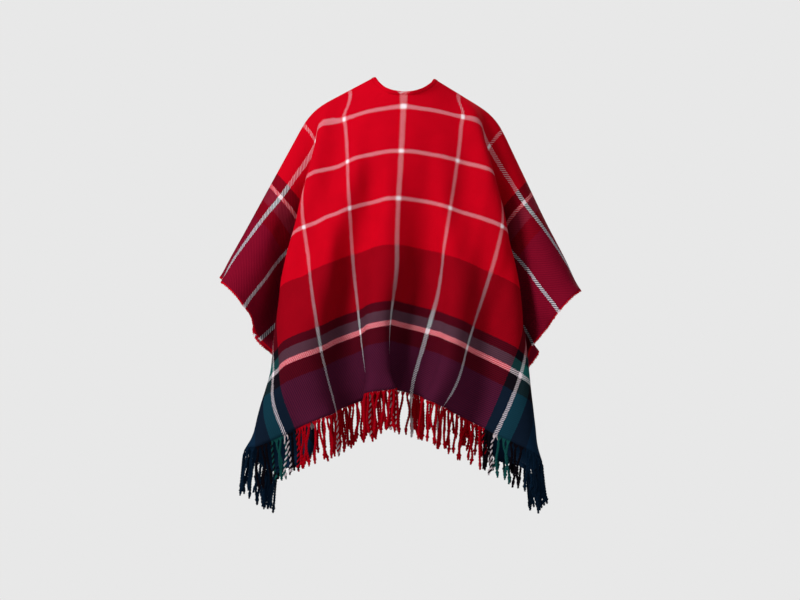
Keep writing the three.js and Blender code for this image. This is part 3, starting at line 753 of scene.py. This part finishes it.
def strand(yarns, f, pitch, number, seed):
    """One twisted strand of two plies: a fan of warp ends, the twist, a knot and a small tuft."""
    down = unit(np.array([0, 0, OUT_LEAN - 1]) + OUT_LEAN * f["out"])
    side = unit(f["along"] - down * np.dot(f["along"], down))
    face = np.cross(down, side)
    length = FRINGE_LENGTH * (1 + LENGTH_SPREAD * scatter(number, seed + 1))
    sway = SWAY * (scatter(number, seed + 2) + math.sin(number * SWAY_STEP + seed))
    swing = SWING * scatter(number, seed + 3)
    waves = WAVE * (1 + WAVE_SPREAD * scatter(number, seed + 5))
    root = f["place"]
    u, v = f["flat"]
    flat_side = math.copysign(1, f["flat_along"])
    start = root + unit(f["out"] + down) * STRAND_FAN

    def middle(s):
        bend = s * s * (3 - 2 * s)
        later = WAVE_STEP * number
        wave = (math.sin(WAVE_SPAN * s + later) - math.sin(later)) * waves
        hanging = start + down * (length - STRAND_FAN) * s
        return hanging + side * (sway * bend + wave) + face * swing * bend

    for n in range(FAN_YARNS):
        t = (n + 0.5) / FAN_YARNS - 0.5
        foot = root + f["along"] * pitch * t + f["out"] * FAN_START
        knee = foot + f["out"] * STRAND_FAN * FAN_MIDDLE - f["along"] * pitch * t * FAN_IN
        head = start + side * FAN_HEAD * t + down * FAN_REACH
        place = np.array([u + flat_side * pitch * t, v])
        yarns.add([foot, knee, head], FAN_RADII, [place] * 3)
    turns = (length - STRAND_FAN) / TWIST_PITCH
    count = int(turns * SAMPLES_PER_TURN) + 1
    phase = 2 * math.pi * scatter(number, seed + 4)
    for ply in (0, 1):
        path, radii = [], []
        for n in range(count + 1):
            s = n / count
            knot = math.exp(-(((s - KNOT_AT) / KNOT_LENGTH) ** 2))
            gather = min(1, GATHER_START + s * GATHER_RATE)
            angle = phase + math.pi * ply + 2 * math.pi * turns * s
            reach = PLY_OFFSET * gather * (1 + KNOT_OPENS * knot)
            path.append(middle(s) + (side * math.cos(angle) + face * math.sin(angle)) * reach)
            end = 1 - TAPER * max(0, (s - TAPER_FROM) / (1 - TAPER_FROM))
            thick = PLY_RADIUS * (1 + KNOT_SWELL * knot) * end
            radii.append(thick * (PLY_LEAST + PLY_MORE * gather))
        place = np.array([u + flat_side * PLY_COLOUR_STEP * (ply - 0.5), v])
        yarns.add(path, radii, [place] * len(path))
    tip = middle(TUFT_AT)
    for n in range(TUFT_YARNS):
        uneven = TUFT_UNEVEN * scatter(7 * number + n, seed)
        angle = 2 * math.pi * (n + uneven) / TUFT_YARNS
        spread = side * math.cos(angle) + face * math.sin(angle)
        bulge = tip + down * TUFT_DROP + spread * TUFT_BULGE
        end = tip + down * length * TUFT_LENGTH + spread * TUFT_SPREAD
        place = np.array([u + flat_side * PLY_COLOUR_STEP * (n % 2 - 0.5), v])
        yarns.add([tip, bulge, end], TUFT_RADII, [place] * 3)


def fringe(cloth, name, material, seed):
    """The strands of one hem, each where its solid one grows."""
    frames = hem_frames(cloth, name)
    yarns = Yarns()
    number = 0
    for n in range((len(frames) - 1) // FINER):
        strands = 2 + n % 2
        first, last = frames[n * FINER], frames[(n + 1) * FINER]
        width = float(np.linalg.norm(first["place"] - last["place"]))
        for s in range(strands):
            middle = (s + 0.5 + ALONG_SPREAD * scatter(3 * n + s, seed)) / strands
            f = fine_place(frames, (n + middle) * FINER)
            f["flat_along"] = last["flat"][0] - first["flat"][0]
            strand(yarns, f, width / strands, number, seed)
            number += 1
    return yarns.made(name + "_strands", STRAND_SIDES, material)


def side_yarn_ends(cloth, material):
    """The short weft ends that stand out of both side edges."""
    yarns = Yarns()
    for side in (0, 1):
        frames = side_frames(cloth, side)
        number = 0
        for n in range(len(frames) - 1):
            width = float(np.linalg.norm(frames[n + 1]["place"] - frames[n]["place"]))
            count = max(1, round(width / END_SPACING))
            for s in range(count):
                f = fine_place(frames, n + (s + 0.5) / count)
                number += 1
                reach = f["out"] * END_REACH * (1 + END_SPREAD * scatter(number, 3 + side))
                lean = f["along"] * END_LEAN * scatter(number, 11 + side)
                foot = f["place"] - f["out"] * END_START
                knee = foot + reach * END_KNEE + lean * END_KNEE_LEAN
                tip = foot + reach + lean - np.array([0, 0, END_DROP])
                place = f["flat"] + np.array([f["flat_out"][0] * END_COLOUR_OUT, 0])
                yarns.add([foot, knee, tip], END_RADII, [place] * 3)
    return yarns.made("side_yarn_ends", END_SIDES, material)


def binding_stitches(cloth, material):
    """The line of machine stitches just beside the binding, on the outer face."""
    frames = opening_frames(cloth)
    yarns = Yarns()
    places = np.array([f["place"] for f in frames])
    lengths = np.linalg.norm(np.diff(places, axis=0), axis=-1)
    reached = np.concatenate([[0], np.cumsum(lengths)])
    for n in range(1, int(reached[-1] / STITCH_STEP) - 1):
        path = []
        for part, rise in ((-0.5, 0), (0, STITCH_RISE), (0.5, 0)):
            at = n * STITCH_STEP + part * STITCH
            f = fine_place(frames, float(np.interp(at, reached, np.arange(len(reached)))))
            path.append(f["place"] - f["out"] * STITCH_IN + f["normal"] * (CLOTH / 2 + rise))
        yarns.add(path, STITCH_RADIUS, [THREAD_PLACE] * 3)
    return yarns.made("binding_stitches", STITCH_SIDES, material)


class Value:
    """A node's output with arithmetic: each operator adds a Math node."""

    def __init__(self, paint, socket):
        self.paint = paint
        self.socket = socket

    def math(self, operation, *others):
        return self.paint.add("ShaderNodeMath", {"operation": operation}, [self, *others])

    def __add__(self, other):
        return self.math("ADD", other)

    __radd__ = __add__

    def __sub__(self, other):
        return self.math("SUBTRACT", other)

    def __mul__(self, other):
        return self.math("MULTIPLY", other)

    __rmul__ = __mul__

    def __truediv__(self, other):
        return self.math("DIVIDE", other)

    def __gt__(self, other):
        return self.math("GREATER_THAN", other)


class Paint:
    """The nodes of one material."""

    def __init__(self, name):
        self.material = bpy.data.materials.new(name)
        self.material.use_nodes = True
        self.tree = self.material.node_tree
        self.shader = self.tree.nodes["Principled BSDF"]

    def add(self, kind, settings=None, inputs=(), output=0):
        """Adds a node with its settings, and a value or link for each socket, by place or name."""
        node = self.tree.nodes.new(kind)
        for key, value in (settings or {}).items():
            if key == "stops":
                self.set_stops(node.color_ramp, value)
            else:
                setattr(node, key, value)
        pairs = inputs.items() if isinstance(inputs, dict) else enumerate(inputs)
        for key, value in pairs:
            self.join(node.inputs[key], value)
        return Value(self, node.outputs[output])

    def join(self, socket, value):
        if isinstance(value, Value):
            self.tree.links.new(value.socket, socket)
        else:
            socket.default_value = value

    def set_stops(self, ramp, stops):
        ramp.interpolation = "CONSTANT"
        while len(ramp.elements) > 1:
            ramp.elements.remove(ramp.elements[-1])
        for n, (place, colour) in enumerate(stops):
            element = ramp.elements[0] if n == 0 else ramp.elements.new(place)
            element.position = place
            element.color = (*colour, 1)

    def mix(self, factor, a, b, blend="MIX"):
        """A colour between a and b."""
        node = self.tree.nodes.new("ShaderNodeMix")
        node.data_type = "RGBA"
        node.blend_type = blend
        colours = [socket for socket in node.inputs if socket.type == "RGBA"]
        self.join(node.inputs[0], factor)
        for socket, value in zip(colours, (a, b)):
            self.join(socket, value if isinstance(value, Value) else (*value, 1))
        return Value(self, next(o for o in node.outputs if o.type == "RGBA"))

    def noise(self, vector, scale, detail=2.0, roughness=0.5):
        """Noise from 0 to 1 with this many grains to a metre."""
        return self.add("ShaderNodeTexNoise", None, {
            "Vector": vector, "Scale": scale, "Detail": detail, "Roughness": roughness})

    def finish(self, values):
        for name, value in values.items():
            self.join(self.shader.inputs[name], value)
        return self.material


def stripes(paint, sett, distance):
    """The colour of a table of stripes at a distance from their first."""
    stops = [(place / SETT_SPAN, YARNS[name]) for place, name in sett]
    return paint.add("ShaderNodeValToRGB", {"stops": stops}, [distance / SETT_SPAN])


def woven_colour(paint, warp, weft, u, twill):
    """Warp and weft mixed. Where a white yarn crosses a darker one, single threads show in twill."""
    soft_warp = paint.add("ShaderNodeGamma", None, [warp, MIX_POWER])
    soft_weft = paint.add("ShaderNodeGamma", None, [weft, MIX_POWER])
    soft = paint.mix(WEFT_SHARE, soft_warp, soft_weft)
    both = paint.add("ShaderNodeGamma", None, [soft, 1 / MIX_POWER])
    lighter = paint.mix(1.0, warp, weft, "LIGHTEN")
    darker = paint.mix(1.0, warp, weft, "DARKEN")
    on_red = paint.add("ShaderNodeSeparateXYZ", None, [darker]) > RED_ENOUGH
    dot = (twill - 0.5).math("ABSOLUTE") > DOT_FROM + on_red * DOT_ON_RED
    pale = paint.add("ShaderNodeSeparateXYZ", None, [lighter], 1) > PALE_GREEN
    threads = paint.mix(dot, darker, lighter)
    woven = paint.mix(pale * PALE_STIPPLE + STIPPLE, both, threads)
    bare_weft = u.math("ABSOLUTE") > SELVEDGE
    return paint.mix(bare_weft, woven, weft)


def wool(name, relief, twisted=False):
    """Wool in the plaid of the flat place: a brushed twill, or the warp's own twisted yarn darkened
    with painted shade.
    """
    paint = Paint(name)
    flat = paint.add("ShaderNodeUVMap", {"uv_map": "cloth"})
    u = paint.add("ShaderNodeSeparateXYZ", None, [flat])
    v = paint.add("ShaderNodeSeparateXYZ", None, [flat], 1)
    wobble = (paint.noise(flat, EDGE_GRAIN) - 0.5) * EDGE_WOBBLE
    wobble += (paint.noise(flat, FUZZ_GRAIN) - 0.5) * EDGE_FUZZ
    warp = stripes(paint, WARP, u.math("ABSOLUTE") + wobble)
    dye = paint.noise(flat, DYE_GRAIN, detail=3.0) - 0.5
    fibre = paint.noise(flat, FIBRE_GRAIN, detail=3.0, roughness=0.7) - 0.5
    if twisted:
        # painted shade: the fringe's yarn is the warp's colour darkened
        colour = paint.mix(1.0, warp, PAINTED_FRINGE_SHADE, "MULTIPLY")
        place = paint.add("ShaderNodeTexCoord", None, [], 3)
        height = (paint.noise(place, YARN_GRAIN, roughness=0.6) - 0.5) * YARN_HEIGHT
    else:
        weft = stripes(paint, WEFT, v.math("ABSOLUTE") + wobble)
        twill = ((u + v) * (1 / TWILL)).math("FRACT")
        colour = woven_colour(paint, warp, weft, u, twill)
        nap = (paint.noise(flat, NAP_GRAIN, detail=3.0) - 0.5) * NAP_HEIGHT
        ridges = (twill * (2 * math.pi)).math("SINE") * RIDGE_HEIGHT
        height = ridges + fibre * FIBRE_HEIGHT + nap
    lightness = 1 + dye * UNEVEN_DYE + fibre * FIBRE_FLECK
    shade = paint.add("ShaderNodeCombineXYZ", None, [lightness, lightness, lightness])
    return paint.finish({
        "Base Color": paint.mix(1.0, colour, shade, "MULTIPLY"),
        "Roughness": ROUGHNESS + fibre * ROUGH_FLECK,
        "Specular IOR Level": SPECULAR,
        "Normal": paint.add("ShaderNodeBump", None, {
            "Strength": relief, "Distance": BUMP_DISTANCE, "Height": height}),
    })


def plain_floor():
    """A round pale floor at a standing wearer's feet."""
    bpy.ops.mesh.primitive_circle_add(
        vertices=FLOOR_SIDES, radius=FLOOR_RADIUS, fill_type="NGON", location=(0, 0, FLOOR_Z))
    floor = bpy.context.object
    floor.name = "floor"
    paint = Paint("pale floor")
    speck = paint.noise(paint.add("ShaderNodeTexCoord", None, [], 3), FLOOR_GRAIN)
    tone = FLOOR_TONE + (speck - 0.5) * FLOOR_FLECK
    colour = paint.add("ShaderNodeCombineXYZ", None, [tone, tone, tone])
    material = paint.finish({"Base Color": colour, "Roughness": FLOOR_ROUGHNESS})
    floor.data.materials.append(material)


def soft_light(name, place, size, power):
    """A round area light that looks at the cape's middle."""
    light = bpy.data.lights.new(name, "AREA")
    light.shape = "DISK"
    light.size = size
    light.energy = power
    obj = bpy.data.objects.new(name, light)
    obj.location = place
    aim = Vector(LIT_MIDDLE) - Vector(place)
    obj.rotation_euler = aim.to_track_quat("-Z", "Y").to_euler()
    bpy.context.scene.collection.objects.link(obj)


def studio():
    """A pale background that lights the cape only softly, and three soft lights."""
    scene = bpy.context.scene
    scene.view_settings.view_transform = "Standard"
    world = bpy.data.worlds.new("pale studio")
    scene.world = world
    world.use_nodes = True
    nodes, links = world.node_tree.nodes, world.node_tree.links
    seen = nodes["Background"]
    seen.inputs["Color"].default_value = (BACKGROUND, BACKGROUND, BACKGROUND, 1)
    lighting = nodes.new("ShaderNodeBackground")
    lighting.inputs["Color"].default_value = (1, 1, 1, 1)
    lighting.inputs["Strength"].default_value = WORLD_STRENGTH
    rays = nodes.new("ShaderNodeLightPath")
    both = nodes.new("ShaderNodeMixShader")
    links.new(rays.outputs["Is Camera Ray"], both.inputs[0])
    links.new(lighting.outputs[0], both.inputs[1])
    links.new(seen.outputs[0], both.inputs[2])
    links.new(both.outputs[0], nodes["World Output"].inputs["Surface"])
    for name, place, size, power in LIGHTS:
        soft_light(name, place, size, power)


def photo_camera():
    """The photo's view, with its size in pixels and its place of the origin."""
    camera = bpy.data.cameras.new("camera")
    camera.sensor_width = SENSOR
    camera.lens = SENSOR * CAMERA_AWAY / (PHOTO_WIDTH * METRES_PER_PIXEL)
    camera.clip_end = 100
    obj = bpy.data.objects.new("camera", camera)
    x = (PHOTO_CENTRE[0] - ORIGIN_PIXEL[0]) * METRES_PER_PIXEL
    z = -(PHOTO_CENTRE[1] - ORIGIN_PIXEL[1]) * METRES_PER_PIXEL
    obj.location = (x, -CAMERA_AWAY, z)
    obj.rotation_euler = (math.pi / 2, 0, 0)
    bpy.context.scene.collection.objects.link(obj)
    bpy.context.scene.camera = obj


def dress():
    """Makes each piece, attaches it to the root body and hides the solids that it stands in for."""
    cloth = Cloth(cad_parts["cape_cloth"])
    plaid = wool("brushed plaid twill", relief=0.5)
    yarn = wool("twisted wool yarn with painted shade", relief=0.7, twisted=True)
    cape = cloth_shell(cloth, plaid)
    roll = binding_roll(cloth, plaid)
    stitches = binding_stitches(cloth, plaid)
    ends = side_yarn_ends(cloth, plaid)
    fringes = {
        "back_fringe": fringe(cloth, "back_fringe", yarn, seed=1),
        "front_fringe_left": fringe(cloth, "front_fringe_left", yarn, seed=5),
        "front_fringe_right": fringe(cloth, "front_fringe_right", yarn, seed=9),
    }
    slots = [
        (cape, "plaid_wool"), (roll, "binding_wool"), (stitches, "binding_wool"), (ends, "plaid_wool"),
    ]
    for obj, slot in slots:
        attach(obj, "root")
    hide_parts("cape_cloth")
    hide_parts("neck_front_binding")
    for node, obj in fringes.items():
        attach(obj, "root")
        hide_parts(node)


dress()
plain_floor()
studio()
photo_camera()
